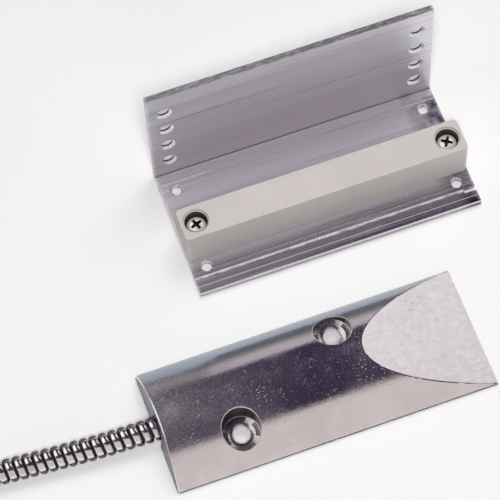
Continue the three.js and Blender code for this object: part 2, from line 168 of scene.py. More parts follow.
class Paint(Nodes):
    """A node material under construction, on the row frame's own coordinates in metres."""

    def __init__(self, name, color, metallic, roughness):
        self.material = bpy.data.materials.new(name)
        super().__init__(self.material)
        self.shader = self.nodes["Principled BSDF"]
        self.drive("Base Color", color)
        self.drive("Metallic", metallic)
        self.drive("Roughness", roughness)
        self.place = self.nodes.new("ShaderNodeTexCoord").outputs["Object"]

    def drive(self, socket, value):
        self.feed(self.shader.inputs[socket], value)

    def along(self, axis, origin=0.0):
        """The distance in metres along an axis of the row frame, from origin."""
        return self.plus(self.add("SeparateXYZ", {"Vector": self.place}).outputs[axis], -origin)

    def noise(self, scale, detail=3.0, where=None, distortion=0.0):
        inputs = {"Vector": where or self.place, "Scale": scale, "Detail": detail, "Distortion": distortion}
        return self.add("TexNoise", inputs).outputs["Fac"]

    def stretched(self, x, y, z):
        """The coordinates scaled by axis, so that a texture runs long where the scale is small."""
        return self.add("Mapping", {"Vector": self.place, "Scale": (x, y, z)}).outputs["Vector"]

    def drawn(self, along, across, detail=3.0):
        """Noise in lines along X, as many to the metre as across says."""
        return self.noise(1, detail, self.stretched(along, across, across))

    def spots(self, scale, reach):
        """1 within reach of scattered points, as a share of their spacing, and 0 elsewhere."""
        cells = self.add("TexVoronoi", {"Vector": self.place, "Scale": scale})
        return self.between(cells.outputs["Distance"], reach, reach * 0.6)

    def scratches(self, scale, width):
        """1 along short thin curved lines, and 0 elsewhere."""
        wander = self.add("TexNoise", {"Vector": self.place, "Scale": scale * 0.7})
        shift = self.add("VectorMath", {0: wander.outputs["Color"], "Scale": 0.9 / scale}, "SCALE")
        bent = self.add("VectorMath", {0: self.place, 1: shift.outputs["Vector"]}, "ADD")
        cells = self.add("TexVoronoi", {"Vector": bent.outputs["Vector"], "Scale": scale})
        cells.feature = "DISTANCE_TO_EDGE"
        lines = self.between(cells.outputs["Distance"], width, width * 0.5)
        return self.times(lines, self.between(self.noise(scale * 0.9, 2), 0.6, 0.64))

    def roughen(self, grain, smooth, rough):
        """Roughness from smooth to rough over the middle of a noise."""
        self.drive("Roughness", self.between(grain, 0.3, 0.7, smooth, rough))

    def tint(self, mask, first, second):
        self.drive("Base Color", self.blend(mask, first, second))

    def bump(self, height, depth):
        """Raises the surface by depth, in metres, where height goes from 0 to 1."""
        bump = self.add("Bump", {"Distance": depth, "Strength": 1.0, "Height": height})
        for earlier in self.shader.inputs["Normal"].links:
            self.links.new(earlier.from_socket, bump.inputs["Normal"])
        self.drive("Normal", bump.outputs["Normal"])


def shade(color, factor):
    return tuple(channel * factor for channel in color)


def polished_aluminium():
    """Polished over the top and hazy towards the cable end; down the rear flank a painted reflection in dark
    blue.
    """
    base, painted_rear_reflection = (0.8, 0.77, 0.78), (0.31, 0.35, 0.42)
    paint = Paint("polished_aluminium", base, 1.0, 0.15)
    grain, clouds = paint.noise(1300, 4), paint.noise(75, 4)
    haze = paint.between(paint.along("X", SWITCH.x), 0.05, 0.004)
    wear = paint.between(clouds, 0.35, 0.7, 0.11, 0.2)
    worn = paint.plus(wear, paint.between(grain, 0.3, 0.75, -0.03, 0.08))
    paint.drive("Roughness", paint.plus(worn, paint.times(haze, 0.07)))
    crowd = paint.between(paint.noise(90, 2), 0.46, 0.62)
    specks = paint.times(paint.spots(1000, 0.2), crowd)
    pits = paint.times(paint.spots(420, 0.1), crowd)
    hairs = paint.times(paint.scratches(260, 0.012), 0.6)
    marks = paint.most(paint.most(specks, pits), hairs)
    dust = paint.between(paint.noise(2600, 2), 0.57, 0.76, 0.0, 0.12)
    dull = paint.plus(paint.plus(dust, paint.times(haze, 0.06)), paint.times(marks, 0.6))
    paint.drive("Metallic", paint.between(dull, 0, 1, 1, 0))
    top = paint.blend(paint.between(clouds, 0.35, 0.65), shade(base, 0.9), base)
    # painted reflection: past y 12 mm the back of the arch is coloured dark blue, as if it mirrored blue
    # surroundings
    paint.tint(paint.between(paint.along("Y", SWITCH.y), 0.0118, 0.0142), top, painted_rear_reflection)
    paint.bump(grain, 1.5e-5)
    paint.bump(paint.drawn(70, 2400), 8e-6)
    return paint.material


def sanded_aluminium():
    """The ramp and the freshly cut edges: evenly sanded, with faint stains and dark flecks."""
    base = (0.84, 0.81, 0.8)
    paint = Paint("sanded_aluminium", base, 0.95, 0.3)
    stains = paint.noise(110, 4, paint.stretched(1, 0.6, 1), 0.5)
    scuffs = paint.noise(1, 3, paint.stretched(500, 900, 500))
    paint.roughen(scuffs, 0.27, 0.36)
    flecks = paint.times(paint.spots(500, 0.2), paint.between(paint.noise(45, 2), 0.6, 0.68))
    stained = paint.blend(paint.between(stains, 0.52, 0.75), base, shade(base, 0.92))
    paint.tint(flecks, stained, shade(base, 0.6))
    paint.bump(scuffs, 1.2e-6)
    return paint.material


def cast_skin_with_painted_shade():
    """The housing's unpolished walls and underside, coloured a dark blue-grey as painted reflection and
    shade, with painted shade darkest at the foot.
    """
    # base stands in for a dark blue reflection with shade; foot is painted shade along the floor
    base, foot = (0.2, 0.22, 0.27), (0.05, 0.05, 0.085)
    paint = Paint("cast_skin_with_painted_shade", base, 0.85, 0.42)
    grain = paint.noise(800, 4)
    paint.roughen(grain, 0.34, 0.55)
    patches = paint.between(paint.noise(120, 2), 0.35, 0.65)
    mottled = paint.blend(patches, shade(base, 0.8), shade(base, 1.2))
    # painted shade: below 1.3 mm the walls darken further towards the floor
    paint.tint(paint.between(paint.along("Z"), 0.0013, 0.0009), mottled, foot)
    paint.bump(grain, 3e-5)
    return paint.material


def seat_wall_painted_shade():
    """The turned walls of the counterbores, coloured near black as painted shade."""
    base = (0.06, 0.05, 0.046)
    paint = Paint("seat_wall_painted_shade", base, 0.9, 0.34)
    turned = paint.noise(1, 3, paint.stretched(60, 60, 2600))
    paint.roughen(turned, 0.25, 0.45)
    paint.tint(paint.between(paint.noise(260, 3), 0.4, 0.65), base, shade(base, 2.2))
    paint.bump(turned, 2e-5)
    return paint.material


def scribed_line_painted_shade():
    """The fine step round the ramp, painted near black as shade in the step, and nicked bright here and
    there.
    """
    base, bright = (0.05, 0.042, 0.05), (0.85, 0.82, 0.82)
    paint = Paint("scribed_line_painted_shade", base, 0.7, 0.45)
    nicks = paint.noise(330, 2)
    paint.drive("Roughness", paint.between(nicks, 0.4, 0.7, 0.5, 0.3))
    paint.tint(paint.between(nicks, 0.58, 0.66), base, bright)
    paint.bump(nicks, 2e-5)
    return paint.material


def mill_aluminium():
    """Streaked along the extrusion, with painted dark reflections on the base in front of the case and in
    patches at the right end, and painted shade towards the foot of the upright leg."""
    base = (0.76, 0.73, 0.79)
    paint = Paint("mill_aluminium", base, 0.7, 0.4)
    lines, streaks = paint.drawn(12, 1500, 4), paint.drawn(7, 330)
    bands, hairs = paint.drawn(3, 90, 2), paint.drawn(22, 1000, 2)
    height, to_end = paint.along("Z"), paint.along("X", bracket_high.x)
    in_front = paint.between(paint.along("Y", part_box("magnet_case")[0].y), 0.0, -0.004)
    on_base = paint.between(height, 0.004, 0.003)
    front = paint.times(in_front, on_base)
    patches = paint.between(paint.noise(110, 3), 0.36, 0.56)
    at_end = paint.times(paint.times(paint.between(to_end, -0.012, -0.003), patches), on_base)
    rubbed = paint.most(at_end, paint.times(paint.between(to_end, -0.09, -0.015, 0.3, 0.82), front))
    paint.drive("Metallic", paint.between(rubbed, 0, 1, 0.7, 1.0))
    matt = paint.between(lines, 0.3, 0.7, 0.27, 0.48)
    paint.drive("Roughness", paint.plus(matt, paint.between(rubbed, 0, 1, 0.0, -0.17)))
    banded = paint.blend(paint.between(bands, 0.36, 0.64), shade(base, 0.91), (0.8, 0.8, 0.88))
    streaked = paint.blend(paint.between(streaks, 0.5, 0.74), banded, (0.7, 0.65, 0.7))
    lined = paint.blend(paint.between(lines, 0.55, 0.72), streaked, (0.85, 0.82, 0.88))
    above_base = paint.between(height, 0.0022, 0.003)
    # painted shade: the upright leg darkens towards its foot
    leg_foot = paint.times(paint.between(height, 0.03, 0.011, 0.0, 0.6), above_base)
    shaded = paint.blend(leg_foot, lined, (0.58, 0.52, 0.57))
    # painted reflection: the base in front of the case is darkened as if it mirrored a dark ceiling
    darkened = paint.blend(paint.between(front, 0, 1, 0, 0.85), shaded, (0.35, 0.31, 0.355))
    depth = paint.between(front, 0, 1, 0.16, 0.55)
    scored = paint.blend(paint.times(paint.between(hairs, 0.42, 0.32), depth), darkened, (0.2, 0.17, 0.2))
    glinting = paint.blend(paint.times(paint.between(hairs, 0.6, 0.7), depth), scored, (0.95, 0.95, 1.0))
    # painted reflection: dark patches near the right end, as if the bent end mirrored something dark
    paint.tint(at_end, glinting, (0.13, 0.115, 0.16))
    paint.bump(lines, 1.6e-5)
    paint.bump(streaks, 1.6e-5)
    return paint.material


def burnished_edge():
    """The bracket's sawn edges, smoother towards its right end."""
    base = (0.46, 0.46, 0.48)
    paint = Paint("burnished_edge", base, 0.8, 0.3)
    drag, burr = paint.drawn(60, 1800, 4), paint.drawn(380, 1500)
    to_end = paint.between(paint.along("X", bracket_high.x), -0.075, -0.02, 0.16, -0.04)
    paint.drive("Roughness", paint.plus(paint.between(drag, 0.3, 0.7, 0.2, 0.34), to_end))
    paint.tint(paint.between(burr, 0.45, 0.7), shade(base, 0.8), (0.78, 0.78, 0.8))
    paint.bump(drag, 2e-5)
    paint.bump(burr, 3e-5)
    return paint.material


def plastic(name, base, roughness, grain_scale=1400, grain_depth=6e-6):
    paint = Paint(name, base, 0.0, roughness)
    clouds = paint.noise(60, 2)
    paint.roughen(clouds, roughness - 0.05, roughness + 0.06)
    paint.tint(paint.between(clouds, 0.3, 0.7), shade(base, 0.96), shade(base, 1.03))
    paint.bump(paint.noise(grain_scale), grain_depth)
    return paint.material


def armour_steel():
    base = (0.8, 0.77, 0.78)
    paint = Paint("armour_steel", base, 1.0, 0.16)
    rolled = paint.noise(700)
    paint.roughen(rolled, 0.12, 0.26)
    paint.tint(paint.between(paint.noise(160, 2), 0.55, 0.72), base, shade(base, 0.8))
    paint.bump(rolled, 8e-6)
    return paint.material


def bright_metal(name, base, smooth, rough, scale=1100, metallic=1.0):
    paint = Paint(name, base, metallic, smooth)
    grain = paint.noise(scale)
    paint.roughen(grain, smooth, rough)
    paint.tint(paint.between(grain, 0.35, 0.65), shade(base, 0.92), base)
    paint.bump(grain, 5e-6)
    return paint.material


def potting_resin():
    base = (0.03, 0.03, 0.035)
    paint = Paint("potting_resin", base, 0.0, 0.22)
    ripple = paint.noise(180, 2)
    paint.roughen(ripple, 0.15, 0.35)
    paint.tint(paint.between(ripple, 0.4, 0.7), base, shade(base, 1.7))
    paint.bump(ripple, 6e-5)
    paint.bump(paint.spots(500, 0.12), -8e-5)
    return paint.material


def reed_glass():
    paint = Paint("reed_glass", (0.86, 0.95, 0.9), 0.0, 0.04)
    paint.drive("Transmission Weight", 0.9)
    paint.drive("IOR", 1.5)
    along_tube = paint.drawn(60, 1800, 2)
    paint.roughen(along_tube, 0.02, 0.09)
    paint.bump(along_tube, 4e-6)
    return paint.material


def ferrite():
    base = (0.05, 0.05, 0.055)
    paint = Paint("ferrite", base, 0.2, 0.5)
    ground = paint.drawn(120, 1600)
    paint.roughen(ground, 0.4, 0.6)
    paint.tint(paint.spots(220, 0.18), base, shade(base, 1.8))
    paint.bump(ground, 1e-5)
    return paint.material


def pale_floor():
    base = (0.965, 0.965, 0.97)
    paint = Paint("pale_floor", base, 0.0, 0.6)
    paper = paint.noise(300)
    paint.tint(paper, (0.96, 0.961, 0.966), (0.972, 0.972, 0.977))
    paint.roughen(paper, 0.55, 0.7)
    paint.drive("Specular IOR Level", 0.2)
    paint.bump(paper, 8e-6)
    return paint.material


FINISH = {
    "polished_aluminium": polished_aluminium(),
    "sanded_aluminium": sanded_aluminium(),
    "cast_skin_with_painted_shade": cast_skin_with_painted_shade(),
    "mill_aluminium": mill_aluminium(),
    "burnished_edge": burnished_edge(),
    "seat_wall_painted_shade": seat_wall_painted_shade(),
    "scribed_line_painted_shade": scribed_line_painted_shade(),
    "machined_seat": bright_metal("machined_seat", (0.62, 0.59, 0.58), 0.18, 0.3, 2600),
    "bright_cut": bright_metal("bright_cut", (0.84, 0.86, 0.93), 0.26, 0.32, 2600, 0.7),
    "armour_flank_painted_reflection": bright_metal("armour_flank_painted_reflection", (0.1, 0.095, 0.125), 0.24, 0.4, 700),
    # a dark finish painted as shade into recesses, the leg's holes and its inner corner
    "recess_painted_shade": bright_metal("recess_painted_shade", (0.1, 0.095, 0.09), 0.25, 0.45, 900),
    # near-black plastic painted as shade on the screw sinks' walls
    "sink_wall_painted_shade": plastic("sink_wall_painted_shade", (0.055, 0.047, 0.042), 0.5),
    "armour_gap_painted_shade": plastic("armour_gap_painted_shade", (0.012, 0.011, 0.012), 0.6),
    "grey_plastic": plastic("grey_plastic", (0.6, 0.565, 0.545), 0.5),
    "black_plastic": plastic("black_plastic", (0.02, 0.02, 0.022), 0.42),
    "potting_resin": potting_resin(),
    "reed_glass": reed_glass(),
    "reed_metal": bright_metal("reed_metal", (0.62, 0.6, 0.57), 0.2, 0.35),
    "armour_steel": armour_steel(),
    "plated_steel": bright_metal("plated_steel", (0.9, 0.9, 0.88), 0.14, 0.28, 1100, 0.45),
    "ferrite": ferrite(),
    "copper": bright_metal("copper", (0.78, 0.46, 0.28), 0.22, 0.4, 2000),
    "red_insulation": plastic("red_insulation", (0.42, 0.02, 0.015), 0.38, 1800, 4e-6),
    "black_insulation": plastic("black_insulation", (0.016, 0.016, 0.017), 0.36, 1800, 4e-6),
}


# ---------------------------------------------------------------- mesh tools


same_place = 1e-4


def add_grid(bm, rows, closed=False, finish_at=None):
    """Joins rows of points with quads. If closed, each row's last point joins its first one.
    finish_at(row, column) gives the number of a quad's finish."""
    made = [[bm.verts.new(point) for point in row] for row in rows]
    for level, (row, after) in enumerate(zip(made, made[1:])):
        count = len(row)
        for i in range(count if closed else count - 1):
            j = (i + 1) % count
            face = bm.faces.new((row[i], row[j], after[j], after[i]))
            if finish_at:
                face.material_index = finish_at(level, i)
    return made


def add_solid(bm, rings, finish_at=None):
    """A closed solid through closed rings of points, with a flat face on its two ends."""
    made = add_grid(bm, rings, True, finish_at)
    bm.faces.new(made[0])
    bm.faces.new(made[-1])
    return made


def to_object(name, bm, origin, finishes=()):
    """Turns millimetres about origin into an object in metres in the row frame."""
    bmesh.ops.remove_doubles(bm, verts=bm.verts, dist=same_place)
    bmesh.ops.recalc_face_normals(bm, faces=bm.faces)
    mesh = bpy.data.meshes.new(name)
    bm.to_mesh(mesh)
    bm.free()
    mesh.transform(Matrix.Translation(origin) @ Matrix.Scale(MM, 4))
    for finish in finishes:
        mesh.materials.append(FINISH[finish])
    made = bpy.data.objects.new(name, mesh)
    bpy.context.scene.collection.objects.link(made)
    return made


def mark_faces(piece, origin, finish_of):
    """Gives each face the finish, by number, that finish_of says for its middle and its normal."""
    for face in piece.data.polygons:
        face.material_index = finish_of((face.center - origin) / MM, face.normal)


def carve(target, cutters):
    """Cuts each cutter object out of target, and removes the cutters."""
    for cutter in cutters:
        step = target.modifiers.new("cut", "BOOLEAN")
        step.operation = "DIFFERENCE"
        step.solver = "EXACT"
        step.object = cutter
    shown = target.evaluated_get(bpy.context.evaluated_depsgraph_get())
    carved = bpy.data.meshes.new_from_object(shown)
    target.modifiers.clear()
    old = target.data
    target.data = carved
    carved.name = target.name
    bpy.data.meshes.remove(old)
    for cutter in cutters:
        bpy.data.objects.remove(cutter)


def smooth(piece, sharp=38):
    """Rounds the shading, keeping flats flat and edges over the sharp angle crisp."""
    piece.data.shade_smooth()
    piece.data.set_sharp_from_angle(angle=math.radians(sharp))
    weigh = piece.modifiers.new("flats", "WEIGHTED_NORMAL")
    weigh.keep_sharp = True
    weigh.weight = 100


replaced = set()


def put(piece, body, slot, *nodes):
    """Makes piece ride on body, in place of the CAD nodes. The slot is not used."""
    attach(piece, body)
    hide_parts(*nodes)
    replaced.update(nodes)
    return piece


def steps(start, end, count):
    return [start + (end - start) * i / count for i in range(count + 1)]


def angles(sides):
    return [2 * math.pi * i / sides for i in range(sides)]


def circle(centre, beside, above, radius, sides):
    """Points round a circle, in the plane of the directions beside and above."""
    return [centre + (beside * math.cos(a) + above * math.sin(a)) * radius for a in angles(sides)]


def turned_rings(profile, centre, sides, axis="Z"):
    """Rings of a profile of (radius, height) pairs turned about an axis through centre."""
    x, y, z = Vector((1, 0, 0)), Vector((0, 1, 0)), Vector((0, 0, 1))
    beside, above, along = {"X": (y, z, x), "Y": (x, z, y), "Z": (x, y, z)}[axis]
    middle = Vector(centre)
    return [circle(middle + along * height, beside, above, radius, sides) for radius, height in profile]


def turned_object(name, profile, centre, origin, sides=64, axis="Z", finishes=()):
    bm = bmesh.new()
    add_solid(bm, turned_rings(profile, centre, sides, axis))
    return to_object(name, bm, origin, finishes)


def box_object(name, low, high, origin):
    (x0, y0, bottom), (x1, y1, top) = low, high
    corners = [(x0, y0), (x1, y0), (x1, y1), (x0, y1)]
    bm = bmesh.new()
    add_solid(bm, [[Vector((x, y, z)) for x, y in corners] for z in (bottom, top)])
    return to_object(name, bm, origin)


def rounded_outline(corners, arc_steps=3):
    """A closed outline of (u, v) points from (u, v, radius) corners, each rounded off."""
    outline = []
    count = len(corners)
    for i, (u, v, radius) in enumerate(corners):
        here = Vector((u, v))
        before = (Vector(corners[i - 1][:2]) - here).normalized()
        after = (Vector(corners[(i + 1) % count][:2]) - here).normalized()
        half_angle = before.angle(after) / 2
        reach = radius / math.tan(half_angle)
        start = here + before * reach
        end = here + after * reach
        centre = here + (before + after).normalized() * radius / math.sin(half_angle)
        first = start - centre
        sweep = first.angle_signed(end - centre)
        for step in range(arc_steps + 1):
            turn = Matrix.Rotation(-sweep * step / arc_steps, 2)
            outline.append(centre + turn @ first)
    return outline


def rounded_box(low, high, bend, arc_steps=8):
    """The outline of a rectangle between two (u, v) corners, its own corners rounded off."""
    (u0, v0), (u1, v1) = low, high
    return rounded_outline([(u0, v0, bend), (u1, v0, bend), (u1, v1, bend), (u0, v1, bend)], arc_steps)


# ---------------------------------------------------------------- routes and swept pieces


def curve_through(points, per_span=16):
    """A smooth Catmull-Rom line through the points."""
    route = [Vector(point) for point in points]
    padded = [2 * route[0] - route[1], *route, 2 * route[-1] - route[-2]]
    line = []
    for a, b, c, d in zip(padded, padded[1:], padded[2:], padded[3:]):
        for i in range(per_span):
            t = i / per_span
            line.append(0.5 * (
                2 * b + (c - a) * t + (2 * a - 5 * b + 4 * c - d) * t ** 2 + (3 * b - a - 3 * c + d) * t ** 3
            ))
    line.append(route[-1])
    return line


class Route:
    """A line cut into equal short steps, with a place and a frame at any distance along it."""

    def __init__(self, line, step):
        self.points = [line[0].copy()]
        self.step = step
        left = step
        for a, b in zip(line, line[1:]):
            span = (b - a).length
            while left <= span:
                self.points.append(a.lerp(b, left / span))
                left += step
            left -= span
        self.length = step * (len(self.points) - 1)

    def at(self, distance):
        """The point at a distance along the route, and the directions beside it and above it."""
        held = min(max(distance, 0), self.length)
        i = min(int(held / self.step), len(self.points) - 2)
        a, b = self.points[i], self.points[i + 1]
        ahead = (self.points[min(i + 2, len(self.points) - 1)] - self.points[max(i - 1, 0)]).normalized()
        beside = Vector((0, 0, 1)).cross(ahead).normalized()
        return a.lerp(b, held / self.step - i), beside, ahead.cross(beside)


def insulated_wire(bm, route, radius, sides=20):
    """A round wire along the whole route, with slightly rounded ends."""
    soft = 0.25 * radius
    rounding = [(0, 0.8), (0.3 * soft, 0.93), (soft, 1)]
    count = max(8, round(route.length / (radius * 0.9)))
    middle = steps(soft, route.length - soft, count)[1:-1]
    stations = rounding + [(distance, 1) for distance in middle]
    stations += [(route.length - distance, share) for distance, share in reversed(rounding)]
    rings = []
    for distance, share in stations:
        centre, beside, above = route.at(distance)
        rings.append(circle(centre, beside, above, radius * share, sides))
    add_solid(bm, rings)


# ---------------------------------------------------------------- armoured cable and its leads

cable_radius = 3.9
cable_route = [
    (8, 0, 5.2),
    (2, 0, 5.2),
    (-4, 0.05, 5.15),
    (-12, 0.4, 4.8),
    (-20, 0.9, 4.4),
    (-30, 1.7, 4.1),
    (-40, 2.5, 3.97),
    (-50, 3.35, 3.95),
    (-60, 4.05, 3.95),
    (-70, 4.6, 3.95),
    (-80, 5.0, 3.95),
    (-88, 5.15, 3.95),
    (-96, 5.2, 3.95),
]
coil = {"radius": 48, "pitch": 8.2, "turns": 2, "steps": 96}
strap = {"width": 4.4, "thick": 0.9, "play": 0.25, "bend": 4.2, "break_edge": 0.18, "head": 3.0}
lead = {"radius": 0.8, "strand": 0.13, "strands": 7, "strand_gap": 0.3}
lead_routes = {
    "red": [
        (-101.6, 22.7, 3.95),
        (-104.5, 23.2, 3.6),
        (-106.8, 25.4, 2.2),
        (-108.5, 29, 0.95),
        (-109.2, 33.5, 0.9),
        (-108.6, 39, 0.9),
        (-106, 44, 0.9),
        (-101, 47.6, 0.9),
        (-95, 49.2, 0.9),
        (-89, 49, 0.9),
        (-83.5, 47.4, 0.9),
    ],
    "black": [
        (-101.6, 20.5, 3.95),
        (-105.5, 21.4, 3.7),
        (-109, 24.6, 2.4),
        (-111.2, 28.8, 0.95),
        (-112, 33.5, 0.9),
        (-111.8, 40, 0.9),
        (-110, 47, 0.9),
        (-106, 52.5, 0.9),
        (-100.5, 56.5, 0.9),
        (-94, 58.5, 0.9),
        (-87.5, 58.2, 0.9),
    ],
}


def row_points(points, origin):
    """Points in metres in the row frame, from millimetres in a unit's frame."""
    return [Vector(point) * MM + origin for point in points]


def armour_line():
    """The cable's centreline: its free stretch, then the coil's turns, winding inwards."""
    line = curve_through(cable_route)
    end = line[-1]
    centre = end + Vector((0, coil["radius"], 0))
    count = coil["turns"] * coil["steps"]
    for i in range(1, count + 1):
        turn = coil["turns"] * i / count
        radius = coil["radius"] - coil["pitch"] * turn
        angle = -QUARTER - 2 * math.pi * turn
        line.append(centre + radius * Vector((math.cos(angle), math.sin(angle), 0)))
    return line


hoop = {"pitch": 3.1, "steps": 36}
# The strip's section: share of a pitch along the cable, and distance from the cable's axis.
hoop_section = [
    (-0.7, 2.5),
    (-0.39, 2.52),
    (-0.375, 3.2),
    (-0.36, 3.54),
    (-0.31, 3.7),
    (-0.2, 3.82),
    (-0.1, 3.88),
    (0, 3.9),
    (0.1, 3.88),
    (0.2, 3.81),
    (0.28, 3.7),
    (0.33, 3.57),
    (0.35, 3.3),
    (0.355, 2.8),
    (0.32, 2.8),
    (0.29, 3.3),
    (0.2, 3.5),
    (-0.2, 3.5),
    (-0.32, 3.2),
    (-0.36, 2.35),
    (-0.7, 2.35),
]
# The gaps between turns are painted near black as shade, and the strip outside bright_arc is painted dark as
# a reflection of dark surroundings.
gap_columns = (0, 1, 12, 13)
bright_arc = (math.radians(15), math.radians(114))


def hoop_finish(station, column):
    """0 on the strip's bare steel over the bright arc, 1 in the gaps, painted near black as shade, and 2 down
    the cable's flanks, painted dark as a reflection.
    """
    around = 2 * math.pi * (station % hoop["steps"]) / hoop["steps"]
    if column in gap_columns:
        return 1
    return 0 if bright_arc[0] < around < bright_arc[1] else 2


def armour():
    """Rolled steel strip, wound in one long helix whose turns hook into each other."""
    route = Route(armour_line(), 0.25)
    turns = route.length / hoop["pitch"] - 1
    bm = bmesh.new()
    rings = []
    for i in range(int(turns * hoop["steps"]) + 1):
        turn = i / hoop["steps"]
        angle = 2 * math.pi * turn
        ring = []
        for share, radius in hoop_section:
            centre, beside, above = route.at((turn + 0.5 + share) * hoop["pitch"])
            ring.append(centre + (beside * math.cos(angle) + above * math.sin(angle)) * radius)
        rings.append(ring)
    add_solid(bm, rings, hoop_finish)
    piece = to_object("armour_strip", bm, SWITCH, ["armour_steel", "armour_gap_painted_shade", "armour_flank_painted_reflection"])
    smooth(piece, 50)
    put(piece, "switch_unit", "armour_steel", "armour_conduit", "armour_coil")
    return piece, route


def stranded_end(name, route, node):
    """Seven twisted strands that go straight on from the end of a lead."""
    last, before = Vector(route[-1]), Vector(route[-2])
    ahead, up = (last - before).normalized(), Vector((0, 0, 1))
    beside = up.cross(ahead)
    length = size_of(node).to_2d().length - 0.2
    whole_twist, sides, count = 5.0, 8, 36
    bm = bmesh.new()
    for k in range(lead["strands"]):
        away = 0.0 if k == 0 else 2 * lead["strand"]
        rings = []
        for t in steps(0, 1, count):
            twist = 2 * math.pi * k / (lead["strands"] - 1) + whole_twist * t
            centre = last + ahead * (lead["strand_gap"] + length * t)
            centre += (beside * math.cos(twist) + up * math.sin(twist)) * away
            rings.append(circle(centre, beside, up, lead["strand"], sides))
        add_solid(bm, rings)
    piece = to_object(name, bm, SWITCH, ["copper"])
    smooth(piece)
    return put(piece, "switch_unit", "copper", node)


def bushing():
    """The red anti-short bushing in the armour's far end: a sleeve, a flange, a ribbed nose and a mouth."""
    low, high = box_about(SWITCH, "end_bushing")
    start = Vector((high.x, (low.y + high.y) / 2, (low.z + high.z) / 2))
    profile = [
        (1.85, -3.8), (1.95, -3.7), (1.95, 0), (2.9, 0), (3.25, 0.1), (3.4, 0.35), (3.4, 1.65), (3.25, 1.9),
        (2.75, 2.1), (2.55, 2.6), (2.5, 3.2), (2.42, 3.3), (2.42, 3.6), (2.48, 3.7), (2.4, 4.6), (2.3, 4.9),
        (2.0, 5.0), (1.9, 4.9), (1.9, 1.5),
    ]
    away = [(radius, -along) for radius, along in profile]
    piece = turned_object("bushing", away, start, SWITCH, 48, "X", ["red_insulation"])
    smooth(piece)
    return put(piece, "switch_unit", "red_insulation", "end_bushing")


def strap_loop(low, high, middle):
    """Rings of points round the tie's strap between two (x, z) corners, all its edges broken."""
    thick, broken, half = strap["thick"], strap["break_edge"], strap["width"] / 2
    inset = Vector((thick, thick))
    outer = rounded_box(low, high, strap["bend"])
    inner = rounded_box(low + inset, high - inset, strap["bend"] - thick)
    out_and_across = [(-half, broken), (broken - half, 0), (half - broken, 0), (half, broken)]
    back_again = [(side, 1 - depth) for side, depth in reversed(out_and_across)]
    rows = []
    for side, depth in out_and_across + back_again:
        edge = [p.lerp(q, depth) for p, q in zip(outer, inner)]
        rows.append([Vector((p.x, middle + side, p.y)) for p in edge])
    return rows + rows[:1]


def cable_tie():
    """A nylon strap drawn tight round the coil's two turns, with its square head."""
    low, high = box_about(SWITCH, "coil_tie")
    centre_x = cable_route[-1][0]
    around = cable_radius + strap["play"] + strap["thick"]
    outer_turn, inner_turn = (coil["radius"] - coil["pitch"] * turn for turn in (0.25, 1.25))
    left, right = centre_x - outer_turn - around, centre_x - inner_turn + around
    bm = bmesh.new()
    loop = strap_loop(Vector((left, low.z)), Vector((right, high.z)), (low.y + high.y) / 2)
    add_grid(bm, loop, closed=True)
    far, near = left - strap["head"], left + 0.6
    bottom, top = low.z + 2.2, high.z - 2
    outline = rounded_outline([(far, bottom, 0.5), (near, bottom, 0.2), (near, top, 0.2), (far, top, 0.5)], 3)
    middle = sum(outline, Vector((0, 0))) / len(outline)
    rings = []
    for y, share in ((low.y, 0.08), (low.y + 0.25, 0), (high.y - 0.25, 0), (high.y, 0.08)):
        ring = [p.lerp(middle, share) for p in outline]
        rings.append([Vector((p.x, y, p.y)) for p in ring])
    add_solid(bm, rings)
    piece = to_object("cable_tie", bm, SWITCH, ["black_plastic"])
    smooth(piece)
    return put(piece, "switch_unit", "black_plastic", "coil_tie")


def add_cords():
    strip, route = armour()
    red_bush, tie = bushing(), cable_tie()
    path = row_points(route.points, SWITCH)
    for colour, points in lead_routes.items():
        line = Route(curve_through(points), 0.2)
        bm = bmesh.new()
        insulated_wire(bm, line, lead["radius"])
        wire = to_object(f"{colour}_lead", bm, SWITCH, [f"{colour}_insulation"])
        smooth(wire, 60)
        put(wire, "switch_unit", f"{colour}_insulation", f"lead_{colour}")
        bare = stranded_end(f"{colour}_strands", points, f"bare_end_{colour}")
        path = row_points(line.points, SWITCH)


add_cords()


# ---------------------------------------------------------------- switch housing

housing_size = size_of("switch_housing")
housing = {
    "length": housing_size.x,
    "half": housing_size.y / 2,
    "crown": housing_size.z,
    "lip": 1.0,
    "lean": 1.2,
    "ramp_start": 69.6,
    "ramp_end": 0.9,
    "edge": 0.4,
    "corner": 1.0,
}
seat = {"bore": 2.95, "cone": 4.3, "sink": 6.1, "relief": 4.6, "round": 0.3}
seat_height = {"web": 3.2, "bore": 4.0, "ledge": 4.5}
seat_places = [(24.8, -10.9), (63.1, 10.9)]
seat_patch = 7.2
# The hollows under the housing, from the cable's way in to the reed switch: start, end, half width, top.
hollows = {"channel": (13, 33, 3.6, 9), "pocket": (32, 55, 9, 8.4)}
inlet = {"mouth_half": 4.2, "mouth_end": 2, "clamp_half": 5.2, "clamp_end": 14}

arch_rise = housing["crown"] - housing["lip"]
arch_radius = (housing["half"] ** 2 + arch_rise ** 2) / (2 * arch_rise)
arch_centre = housing["crown"] - arch_radius
ramp_fall = (housing["crown"] - housing["ramp_end"]) / (housing["length"] - housing["ramp_start"])


def arch_top(y):
    return arch_centre + math.sqrt(arch_radius ** 2 - y * y)


def ramp_top(x):
    return housing["crown"] - (x - housing["ramp_start"]) * ramp_fall


def ramp_edge(y):
    """Where the ramp leaves the arch, at a distance y from the centre line."""
    return housing["ramp_start"] + (housing["crown"] - arch_top(y)) / ramp_fall


def crease_width(y):
    """The width along x that gives the line round the ramp the same width everywhere."""
    slope = y / math.sqrt(arch_radius ** 2 - y * y) / ramp_fall
    return min(0.6, 0.22 * math.sqrt(1 + slope ** 2))


def end_face(z):
    return housing["lean"] * z / housing["crown"]


